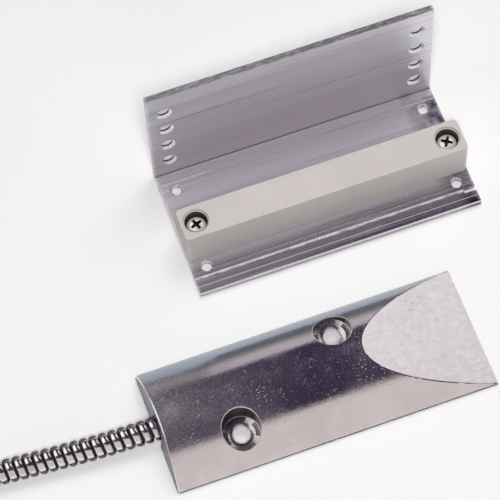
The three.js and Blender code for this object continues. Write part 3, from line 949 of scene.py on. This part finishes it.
def half_width(x):
    """Half the housing's width, less where the corners at the cable end are rounded."""
    short = max(0.0, housing["corner"] - x)
    return housing["half"] - housing["corner"] + math.sqrt(housing["corner"] ** 2 - short ** 2)


def squeezed(y, x):
    """y drawn in near the rounded corners, where it is past the seats' patches."""
    kept = -seat_places[0][1] + seat_patch
    if abs(y) <= kept:
        return y
    share = (abs(y) - kept) / (housing["half"] - kept)
    return math.copysign(kept + share * (half_width(x) - kept), y)


def top_point(x, y):
    return Vector((x, squeezed(y, x), min(arch_top(y), ramp_top(x))))


def before_ramp(y):
    """The line that parts the plain arch from the stretch that fans out to the ramp's edge."""
    gap, bulge = 0.6, 0.78
    patch_edge = seat_places[0][1] + seat_patch
    return housing["ramp_start"] - gap + bulge * min(1.0, (y / patch_edge) ** 2)


def seat_rows(centre, rim):
    """Rings of points from the patch's rim on the arch down through a counterbore."""
    arms = [Vector((p.x, p.y)) - Vector(centre) for p in rim]
    outside = seat["sink"] + seat["round"]

    def on_arch(reaches, drop=0.0):
        places = [Vector(centre) + arm.normalized() * reach for arm, reach in zip(arms, reaches)]
        return [Vector((place.x, place.y, arch_top(place.y) - drop)) for place in places]

    rows = [rim]
    for share in (0.35, 0.65, 0.85, 1.0):
        rows.append(on_arch([arm.length + (outside - arm.length) * share for arm in arms]))
    for degrees in (65, 40, 15, 0):
        turn = math.radians(degrees)
        radius = seat["sink"] + seat["round"] * (1 - math.cos(turn))
        rows.append(on_arch([radius] * len(arms), seat["round"] * (1 - math.sin(turn))))
    ledge, low = seat_height["ledge"], seat_height["bore"]
    below = [
        (seat["sink"], ledge + 0.25),
        (seat["sink"] - 0.08, ledge + 0.08),
        (seat["sink"] - 0.25, ledge),
        (seat["cone"] + 0.12, ledge),
        (seat["cone"] - 0.05, ledge - 0.06),
        (seat["bore"] + 0.12, low + 0.06),
        (seat["bore"], low - 0.06),
        (seat["bore"], seat_height["web"] - 1),
    ]
    for radius, height in below:
        flat = [Vector(centre) + arm.normalized() * radius for arm in arms]
        rows.append([Vector((place.x, place.y, height)) for place in flat])
    return rows


def housing_top(bm):
    """The arch, the ramp and both seats. Returns the top's border, front edge first."""
    (x1, y1), (x2, y2) = seat_places
    half, inside, outside = housing["half"], y2 - seat_patch, y2 + seat_patch
    lines = [-half, -outside, -inside, inside, outside, half]
    bands = [steps(a, b, count) for a, b, count in zip(lines, lines[1:], (8, 26, 14, 26, 8))]
    near_end, lean_reach = [housing["edge"], 0.55, 0.75, 1.0], 10

    def left_columns(y):
        lean = end_face(arch_top(y))
        columns = near_end + steps(near_end[-1], x1 - seat_patch, 22)[1:]
        return [x + lean * max(0.0, 1 - x / lean_reach) for x in columns]

    spans = [
        left_columns,
        lambda y: steps(x1 - seat_patch, x1 + seat_patch, 24),
        lambda y: steps(x1 + seat_patch, x2 - seat_patch, 28),
        lambda y: steps(x2 - seat_patch, before_ramp(y), 24),
    ]
    for i, span in enumerate(spans):
        for j, band in enumerate(bands):
            rows = [[top_point(x, y) for x in span(y)] for y in band]
            if (i, j) in ((1, 1), (3, 3)):
                rim = rows[0] + [row[-1] for row in rows[1:-1]] + rows[-1][::-1]
                rim += [row[0] for row in rows[-2:0:-1]]
                centre = (x1, y1) if i == 1 else (x2, y2)
                made = add_grid(bm, seat_rows(centre, rim), closed=True)
                bm.faces.new(made[-1])
            else:
                add_grid(bm, rows)
    end, crease_depth = housing["length"] - housing["edge"] * 0.7, 0.03
    everywhere = sorted(set(y for band in bands for y in band))
    rows = []
    for y in everywhere:
        crease = crease_width(y)
        edge = min(ramp_edge(y), end - 2 * crease)
        row = [top_point(x, y) for x in steps(before_ramp(y), edge - crease, 8)]
        row.append(top_point(edge, y) - Vector((0, 0, crease_depth)))
        row += [top_point(x, y) for x in steps(edge + crease, end, 16)]
        rows.append(row)
    add_grid(bm, rows)
    along_front = [x for span in spans for x in span(-half)]
    front = [top_point(x, -half) for x in along_front] + rows[0]
    back = [top_point(x, half) for x in along_front] + rows[-1]
    left = [top_point(left_columns(y)[0], y) for y in everywhere]
    right = [row[-1] for row in rows]
    return front, back, left, right


def without_repeats(points):
    kept = []
    for point in points:
        if not kept or (point - kept[-1]).length > same_place:
            kept.append(point)
    if (kept[0] - kept[-1]).length <= same_place:
        kept.pop()
    return kept


def housing_skirt(bm, front, back, left, right):
    """The low walls round the top's border and the flat underside."""
    edge, foot, near = housing["edge"], 0.15, 1e-3
    length, half = housing["length"], housing["half"]
    on_long_side = half - 1.2
    rows = [[], [], [], [], []]
    for point in without_repeats(front + right + back[::-1] + left[::-1]):
        at_left = point.x < end_face(point.z) + edge + near
        at_right = point.x > length - edge * 0.7 - near
        if at_right:
            bevel = [(length - 0.2 * edge, 0.2 * edge), (length, 0.7 * edge)]
        elif at_left:
            bevel = [(end_face(point.z) + 0.29 * edge, 0.29 * edge), (end_face(point.z - edge), edge)]
        else:
            bevel = [(point.x, 0.1), (point.x, 0.25)]
        for row, (x, drop) in zip(rows, [(point.x, 0)] + bevel):
            y = point.y
            if at_left and abs(y) > on_long_side:
                y = math.copysign(min(abs(y), squeezed(half, x)), y)
            row.append(Vector((x, y, point.z - drop)))
        wall_x, wall_y = end_face(foot) if at_left else bevel[-1][0], rows[2][-1].y
        inward = Vector((foot * (at_left - at_right), 0, 0))
        if abs(wall_y) > on_long_side:
            inward.y = -math.copysign(foot, wall_y)
        rows[3].append(Vector((wall_x, wall_y, foot)))
        rows[4].append(Vector((wall_x, wall_y, 0)) + inward)
    made = add_grid(bm, rows, closed=True)
    bm.faces.new(made[-1])


def doorway_object(name, half, x0, x1, axis_height):
    """A cutter with a round head, open below, for the armour's way into the housing."""
    outline = [Vector((-half, -1)), Vector((half, -1))]
    outline += [Vector((half * math.cos(a), axis_height + half * math.sin(a))) for a in steps(0, math.pi, 32)]
    rings = [[Vector((x, p.x, p.y)) for p in outline] for x in (x0, x0 + 0.01, x1)]
    bm = bmesh.new()
    add_solid(bm, rings)
    return to_object(name, bm, SWITCH)


scribed_until = housing["length"] - 7
housing_finishes = [
    "polished_aluminium", "sanded_aluminium", "cast_skin_with_painted_shade", "seat_wall_painted_shade", "machined_seat", "scribed_line_painted_shade",
]


def housing_finish(at, normal):
    """Which of the housing's finishes a face has, from its middle and its normal."""
    polished, sanded, cast, wall, machined, scribed = range(6)
    on_side = abs(at.y) > housing["half"] - 0.6 or at.x > housing["length"] - 0.3
    if normal.z < -0.5 or normal.x < -0.9 or (on_side and abs(normal.z) < 0.25):
        return cast
    upright = abs(normal.z) < 0.1
    for x, y in seat_places:
        away = math.hypot(at.x - x, at.y - y)
        in_bore = away < seat["bore"] + 0.1
        on_brim = seat["sink"] < away < seat["sink"] + seat["round"] + 0.02
        if in_bore or on_brim:
            return wall if upright and not in_bore else sanded
        # counterbore walls take the near-black painted shade
        if away < seat["sink"] + 0.01:
            return wall if upright else machined
    across = min(abs(at.y), housing["half"] - 0.1)
    short = ramp_edge(across) - at.x
    # the step round the ramp takes the near-black painted shade
    if 0 < short < crease_width(across) and at.x < scribed_until:
        return scribed
    at_end = at.x < end_face(at.z) + housing["edge"]
    on_ramp = short <= 0 and normal.x > 0.2 and normal.z > 0.9
    return sanded if at_end or on_ramp else polished


def switch_housing():
    bm = bmesh.new()
    housing_skirt(bm, *housing_top(bm))
    piece = to_object("arched_housing", bm, SWITCH, housing_finishes)
    height, mouth_end, overlap = cable_route[0][2], inlet["mouth_end"], 0.3
    cutters = [
        doorway_object("cut_mouth", inlet["mouth_half"], -1, mouth_end, height),
        doorway_object("cut_doorway", inlet["clamp_half"], mouth_end - overlap, inlet["clamp_end"], height),
    ]
    for name, (start, end, half, top) in hollows.items():
        cutters.append(box_object(f"cut_{name}", (start, -half, -1), (end, half, top), SWITCH))
    relief = [(seat["relief"], -1), (seat["relief"], seat_height["web"])]
    for i, (x, y) in enumerate(seat_places):
        cutters.append(turned_object(f"cut_relief_{i}", relief, (x, y, 0), SWITCH, 72))
    carve(piece, cutters)
    mark_faces(piece, SWITCH, housing_finish)
    smooth(piece, 35)
    return put(piece, "switch_unit", "polished_aluminium", "switch_housing")


switch_housing()


# ---------------------------------------------------------------- angle bracket

bracket_size = size_of("angle_bracket")
plate = 2.1
groove_back, groove_front = -42.1, -43.25
leg_hole = {"radius": 2.0, "from_end": 5.6, "first": 10.4, "pitch": 9.85, "count": 4, "deburr": 0.72}
base_hole = {"radius": 1.75, "from_end": 5.2, "from_back": (9.1, 39.2)}
case_screw_hole = 1.8
end_slot = {"length": 4.1, "front": -43.8, "back": -41.8}


def score_line(at, run_in, depth, bend):
    """Three corners of a fine line pressed into the base's top face."""
    return [(at + run_in, plate, 0.05), (at, plate - depth, bend), (at - 0.1, plate, bend)]


def bracket_outline(score, groove):
    """The extrusion's section as (y, z) points, from the foot of the upright leg's back round to the
    front edge. score and groove are the depths of the line near the leg and of the front groove."""
    depth, height = bracket_size.y, bracket_size.z
    return rounded_outline([
        (0, 0, 0.35),
        (0, height, 0.15),
        (-plate, height, 0.22),
        (-plate, plate + 0.25, 0.03),
        (-plate - 0.05, plate - 0.15, 0.02),
        (-plate - 0.3, plate, 0.03),
        *score_line(-6.35, 0.35, score, 0.02),
        *score_line(-40.75, 0.25, 0.1, 0.03),
        (groove_back, plate, 0.1),
        (groove_back - 0.2 - groove, plate - groove, 0.05),
        (groove_front + 0.1, plate - groove, 0.05),
        (groove_front, plate - 0.04, 0.03),
        *score_line(-45.65, 0.15, 0.12, 0.03),
        (0.36 - depth, plate, 0.08),
        (-depth, plate - 0.36, 0.1),
        (-depth, 0, 0.2),
    ], 3)


def hole_object(name, radius, centre, axis, deburr=0.28, sides=48):
    """A cutter for a hole through the plate, flared at both faces to deburr it."""
    beyond = 0.4
    profile = [
        (radius + deburr + beyond, -beyond),
        (radius, deburr),
        (radius, plate - deburr),
        (radius + deburr + beyond, plate + beyond),
    ]
    return turned_object(name, profile, centre, MAGNET, sides, axis)


def drawn_in(point, inset):
    """A point of the bracket's section, moved in from the section's flat faces by inset."""
    y, z = point
    depth, height = bracket_size.y, bracket_size.z
    in_corner = y > -plate - 0.5 and z > plate - 1e-3
    if in_corner:
        y = y + inset if y < -plate / 2 else y
        z = z - inset if z < plate + 0.5 else z
    elif z > plate / 2:
        z = min(z, plate - inset)
    return Vector((min(max(y, inset - depth), -inset), min(max(z, inset), height - inset)))


def worn(point, x):
    """A point near one of the section's edges, nicked a little by an amount that varies along x."""
    nick = 0.05 * noise.noise(Vector((x * 0.9, point.x * 0.3, point.y * 0.3)))
    return point + Vector((0, -nick)) if nick > 0 else point


bracket_finishes = ["mill_aluminium", "burnished_edge", "bright_cut", "recess_painted_shade"]


def bracket_finish(at, normal):
    """Which of the bracket's finishes a face has, from its middle and its normal."""
    mill, burnished, bright, dark = range(4)
    # painted shade: the inner corner at the leg's foot and the walls of the leg's holes take the dark recess
    # finish
    in_corner = -plate - 0.4 < at.y < 0.01 - plate and plate - 0.3 < at.z < plate + 0.27
    if in_corner and normal.z < 0.98 and normal.y > -0.98:
        return dark
    inside_leg = -plate < at.y < 0 and plate + 1 < at.z < bracket_size.z - 1
    if inside_leg and abs(normal.y) < 0.98 and 1 < at.x < bracket_size.x - 1:
        return dark if abs(normal.y) < 0.1 else bright
    if normal.y < -0.3 and 0.3 < normal.z < 0.98 and plate - 1 < at.z < plate + 0.1:
        return bright
    on_top = at.z > bracket_size.z - 0.3
    in_groove = groove_front - 0.05 < at.y < groove_back + 0.1 and at.z < plate - 0.1
    return burnished if on_top or abs(normal.x) > 0.5 or (in_groove and normal.z > 0.98) else mill


def angle_bracket():
    length, bevel = bracket_size.x, 0.25
    end = [(0, bevel), (0.07, 0.1), (bevel, 0)]
    stations = end + [(x, 0) for x in steps(bevel, length - bevel, 150)[1:-1]]
    stations += [(length - x, inset) for x, inset in reversed(end)]
    rings = []
    for x, inset in stations:
        fade = min(1.0, max(0.0, min(x - 16, length - 10 - x) / 12))
        chatter = noise.noise(Vector((x * 0.55, 0.5, 0.5)))
        outline = bracket_outline(0.25 - 0.21 * fade, 0.42 + 0.26 * chatter)
        if inset:
            ring = [drawn_in(point, inset) for point in outline]
        else:
            ring = [worn(point, x) if point.y > plate - 0.3 else point for point in outline]
        rings.append([Vector((x, place.x, place.y)) for place in ring])
    bm = bmesh.new()
    add_solid(bm, rings)
    piece = to_object("extruded_angle", bm, MAGNET, bracket_finishes)
    cutters = []
    for x in (leg_hole["from_end"], length - leg_hole["from_end"]):
        for i in range(leg_hole["count"]):
            centre = (x, -plate, leg_hole["first"] + i * leg_hole["pitch"])
            cutters.append(hole_object("cut_leg_hole", leg_hole["radius"], centre, "Y", leg_hole["deburr"]))
    for x in (base_hole["from_end"], length - base_hole["from_end"]):
        for back in base_hole["from_back"]:
            cutters.append(hole_object("cut_base_hole", base_hole["radius"], (x, -back, 0), "Z"))
    for x in screw_places:
        cutters.append(hole_object("cut_screw_hole", case_screw_hole, (x, case_y, 0), "Z"))
    slot_low = (length - end_slot["length"], end_slot["front"], -1)
    cutters.append(box_object("cut_slot", slot_low, (length + 1, end_slot["back"], plate + 1), MAGNET))
    carve(piece, cutters)
    mark_faces(piece, MAGNET, bracket_finish)
    smooth(piece, 32)
    return put(piece, "magnet_unit", "mill_aluminium", "angle_bracket")


# ---------------------------------------------------------------- magnet case and its screws

case_low, case_high = box_about(MAGNET, "magnet_case")
case_y = (case_low.y + case_high.y) / 2
case_bottom, case_top = case_low.z, case_high.z
screw_from_end = 5.3
screw_places = [case_low.x + screw_from_end, case_high.x - screw_from_end]
sink = {"radius": 3.75, "depth": 5.2, "bore": 2.1, "rim": 4.2, "step": 1.0}


def magnet_case():
    corner, fillet = 1.5, 0.28
    levels = [(case_bottom, 0.2), (case_bottom + 0.2, 0)]
    for degrees in (0, 22, 45, 68, 90):
        turn = math.radians(degrees)
        levels.append((case_top - fillet + fillet * math.sin(turn), fillet * (1 - math.cos(turn))))
    rings = []
    for z, inset in levels:
        drawn = Vector((inset, inset))
        outline = rounded_box(case_low.to_2d() + drawn, case_high.to_2d() - drawn, max(corner - inset, 0.5))
        rings.append([Vector((p.x, p.y, z)) for p in outline])
    bm = bmesh.new()
    add_solid(bm, rings)
    piece = to_object("plastic_case", bm, MAGNET, ["grey_plastic", "sink_wall_painted_shade"])
    floor, step = case_top - sink["depth"], case_top - sink["step"]
    radius, rim = sink["radius"], sink["rim"]
    profile = [
        (sink["bore"], case_bottom - 1),
        (sink["bore"], floor),
        (radius - 0.3, floor),
        (radius, floor + 0.3),
        (radius, step - 0.1),
        (radius + 0.08, step),
        (rim - 0.14, step + 0.02),
        (rim - 0.04, step + 0.14),
        (rim - 0.02, case_top - 0.2),
        (rim + 0.14, case_top),
        (rim + 0.14, case_top + 1),
    ]
    cutters = [turned_object("cut_sink", profile, (x, case_y, 0), MAGNET, 72) for x in screw_places]
    from_end, pocket_half, roof = 12, 4, 2.5
    cutters.append(box_object(
        "cut_pocket",
        (from_end, case_y - pocket_half, case_bottom - 1),
        (bracket_size.x - from_end, case_y + pocket_half, case_top - roof),
        MAGNET,
    ))
    carve(piece, cutters)

    # painted shade: the sink's wall, from the step down to its floor, takes near-black plastic
    def finish_of(at, _):
        away = min(math.hypot(at.x - x, at.y - case_y) for x in screw_places)
        return int(away < radius + 0.04 and floor - 0.1 < at.z < step - 0.02)

    mark_faces(piece, MAGNET, finish_of)
    smooth(piece, 30)
    return put(piece, "magnet_unit", "grey_plastic", "magnet_case")


def tapered_bar(name, centre, angle, top, bottom, z_top, z_bottom):
    """A bar-shaped cutter that narrows downwards; top and bottom are half length and half width."""
    turn = Matrix.Rotation(angle, 3, "Z")
    rings = []
    for (along, across), z in ((bottom, z_bottom), (top, z_top)):
        ring = [(-along, -across), (along, -across), (along, across), (-along, across)]
        rings.append([Vector(centre) + turn @ Vector((u, v, 0)) + Vector((0, 0, z)) for u, v in ring])
    bm = bmesh.new()
    add_solid(bm, rings)
    return to_object(name, bm, MAGNET)


def threaded_rings(centre, bottom, top, core, shank, sides):
    """Rings of a blunt-tipped thread, as near to each other as its ridge needs."""
    pitch, per_turn, tip_height, tip_share, steepness = 0.8, 8, 1.2, 0.3, 3.2
    rings = []
    for z in steps(bottom, top, round((top - bottom) / pitch * per_turn)):
        taper = 1 - tip_share + tip_share * min(1.0, (z - bottom) / tip_height)
        ring = []
        for i, angle in enumerate(angles(sides)):
            phase = (z / pitch - i / sides) % 1
            ridge = max(0.0, 1 - abs(phase - 0.5) * steepness)
            radius = (core + (shank - core) * ridge) * taper
            ring.append(centre + Vector((radius * math.cos(angle), radius * math.sin(angle), z)))
        rings.append(ring)
    return rings


def pan_head_screw(side, x, angle):
    node = f"case_screw_{side}"
    low, high = box_about(MAGNET, node)
    centre, top = Vector((x, case_y, 0)), high.z
    head, shank, core, sides = (high - low).x / 2, 1.7, 1.32, 48
    under = top - 2.0
    profile = [(shank, under), (head - 0.12, under), (head, under + 0.1), (head, under + 0.55)]
    profile += [(head - 0.12, under + 0.95), (head - 0.4, under + 1.35), (head - 0.8, under + 1.65)]
    profile += [(head - 1.3, under + 1.85), (head - 2, under + 1.96), (0.3, top)]
    rings = threaded_rings(centre, low.z, under - 1.2, core, shank, sides)
    bm = bmesh.new()
    add_solid(bm, rings + turned_rings(profile, centre, sides))
    piece = to_object(f"pan_head_{side}", bm, MAGNET, ["plated_steel", "recess_painted_shade"])
    deep, reach = top - 1.35, 2.2
    arm, heart = ((reach, 0.5), (0.9, 0.35)), ((0.95, 0.95), (0.4, 0.4))
    cutters = []
    for name, turn, (wide, narrow) in (
        ("cut_arm", 0, arm), ("cut_arm", QUARTER, arm), ("cut_heart", QUARTER / 2, heart),
    ):
        cutters.append(tapered_bar(name, centre, angle + turn, wide, narrow, top + 0.1, deep))
    carve(piece, cutters)

    def finish_of(at, normal):
        # painted shade: the cross recess's walls and floor take the dark recess finish
        in_recess = (at - centre).to_2d().length < reach and at.z > deep - 0.1
        return int(in_recess and (normal.z < 0.8 or at.z < deep + 0.1))

    mark_faces(piece, MAGNET, finish_of)
    smooth(piece, 35)
    return put(piece, "magnet_unit", "plated_steel", node)


def lock_washer(side, x):
    """A spring washer, split and slightly sprung: one end of its ring lies higher than the other."""
    node = f"lock_washer_{side}"
    low, high = box_about(MAGNET, node)
    inner, outer, soft, slit, inset, spring = 2.0, 3.4, 0.12, 0.09, 0.05, 0.08
    section = rounded_box((inner, low.z + inset), (outer, high.z - inset), soft, 3)
    rings = []
    for share in steps(0, 1, 60):
        angle = slit + (2 * math.pi - 2 * slit) * share
        out, lift = Vector((math.cos(angle), math.sin(angle))), spring * (share - 0.5)
        rings.append([Vector((x + p.x * out.x, case_y + p.x * out.y, p.y + lift)) for p in section])
    bm = bmesh.new()
    add_solid(bm, rings)
    piece = to_object(f"split_washer_{side}", bm, MAGNET, ["plated_steel"])
    smooth(piece)
    return put(piece, "magnet_unit", "plated_steel", node)


angle_bracket()
magnet_case()
for screw_side, screw_x, screw_turn in zip(("left", "right"), screw_places, (0.35, 1.0)):
    pan_head_screw(screw_side, screw_x, screw_turn)
    lock_washer(screw_side, screw_x)


# ---------------------------------------------------------------- CAD nodes that stay

for part in frame["record"]["subparts"]:
    if part["node"] not in replaced:
        kept = frame["nodes"][part["node"]]
        kept.data.materials.clear()
        kept.data.materials.append(FINISH[part["material_slot"]])


# ---------------------------------------------------------------- floor and light


def add_floor():
    reach, level = 3000, -0.1
    across = steps(-reach, reach, 8)
    bm = bmesh.new()
    add_grid(bm, [[Vector((x, y, level)) for x in across] for y in across])
    floor = to_object("floor", bm, Vector((0, 0, 0)))
    floor.data.materials.append(pale_floor())


def add_softbox(name, towards, distance, size, power, color, mirrored):
    """A square soft light in a direction from the object; metal mirrors it only if mirrored."""
    data = bpy.data.lights.new(name, "AREA")
    data.shape = "SQUARE"
    data.size = size
    data.energy = power
    data.color = color
    light = bpy.data.objects.new(name, data)
    bpy.context.scene.collection.objects.link(light)
    away = Vector(towards).normalized()
    light.location = away * distance
    light.rotation_euler = away.to_track_quat("Z", "Y").to_euler()
    light.visible_glossy = mirrored
    light.visible_camera = False


class Room(Nodes):
    """The studio's walls: a world colour worked out from the direction of view."""

    def __init__(self, world):
        super().__init__(world)
        direction = self.nodes.new("ShaderNodeTexCoord").outputs["Generated"]
        self.direction = self.add("SeparateXYZ", {"Vector": direction}).outputs
        angle = self.calculate("ARCTAN2", self.direction["Z"], self.direction["Y"])
        self.half_turns = self.calculate("DIVIDE", angle, math.pi)

    def over(self, *stops):
        """A colour by the angle up from the back wall and over, from (degrees, colour) stops."""
        ramp = self.add("ValToRGB", {"Fac": self.half_turns})
        while len(ramp.color_ramp.elements) < len(stops):
            ramp.color_ramp.elements.new(0.5)
        for element, (degrees, color) in zip(ramp.color_ramp.elements, stops):
            element.position = degrees / 180
            element.color = (*color, 1)
        return ramp.outputs["Color"]

    def leftward(self, start, end):
        """0 where the direction's x is over start, rising to 1 where it is under end."""
        return self.between(self.direction["X"], start, end)


def add_room():
    """A pale wall at the front and at the back's right, a grey one at the back's left, and a dark
    ceiling with a lit panel on its left."""
    world = bpy.data.worlds.new("studio")
    bpy.context.scene.world = world
    room = Room(world)
    dark, back, front = (0.038, 0.024, 0.062), (0.4, 0.36, 0.36), (0.73, 0.66, 0.65)
    grey, lit = (0.15, 0.13, 0.14), (1.3, 1.24, 1.22)
    none, full = (0, 0, 0), (1, 1, 1)
    walls = room.over((0, back), (21, back), (27, dark), (117, dark), (123, front), (180, front))
    low = room.over((0, full), (22, full), (28, none), (180, none))
    walls = room.blend(room.times(low, room.leftward(0.125, 0.085)), walls, grey)
    overhead = room.over((0, none), (30, none), (38, full), (88, full), (98, none), (180, none))
    walls = room.blend(room.times(overhead, room.leftward(-0.02, -0.16)), walls, lit)
    room.feed(room.nodes["Background"].inputs["Color"], walls)
    world.cycles_visibility.diffuse = False


add_floor()
add_room()
warm = (1.0, 0.99, 0.98)
add_softbox("key", (0.589, 0.446, 0.674), 1.3, 0.75, 1.8, (1.0, 0.97, 0.96), True)
add_softbox("fill", view_axes()[2], 1.6, 0.35, 16.5, warm, False)
add_softbox("top", (0.25, 0.3, 0.92), 1.6, 0.9, 8.5, warm, False)
add_softbox("front", (-0.1, -0.93, 0.36), 1.6, 0.9, 3.1, (1.0, 0.92, 1.0), False)
bpy.context.scene.view_settings.view_transform = "Standard"
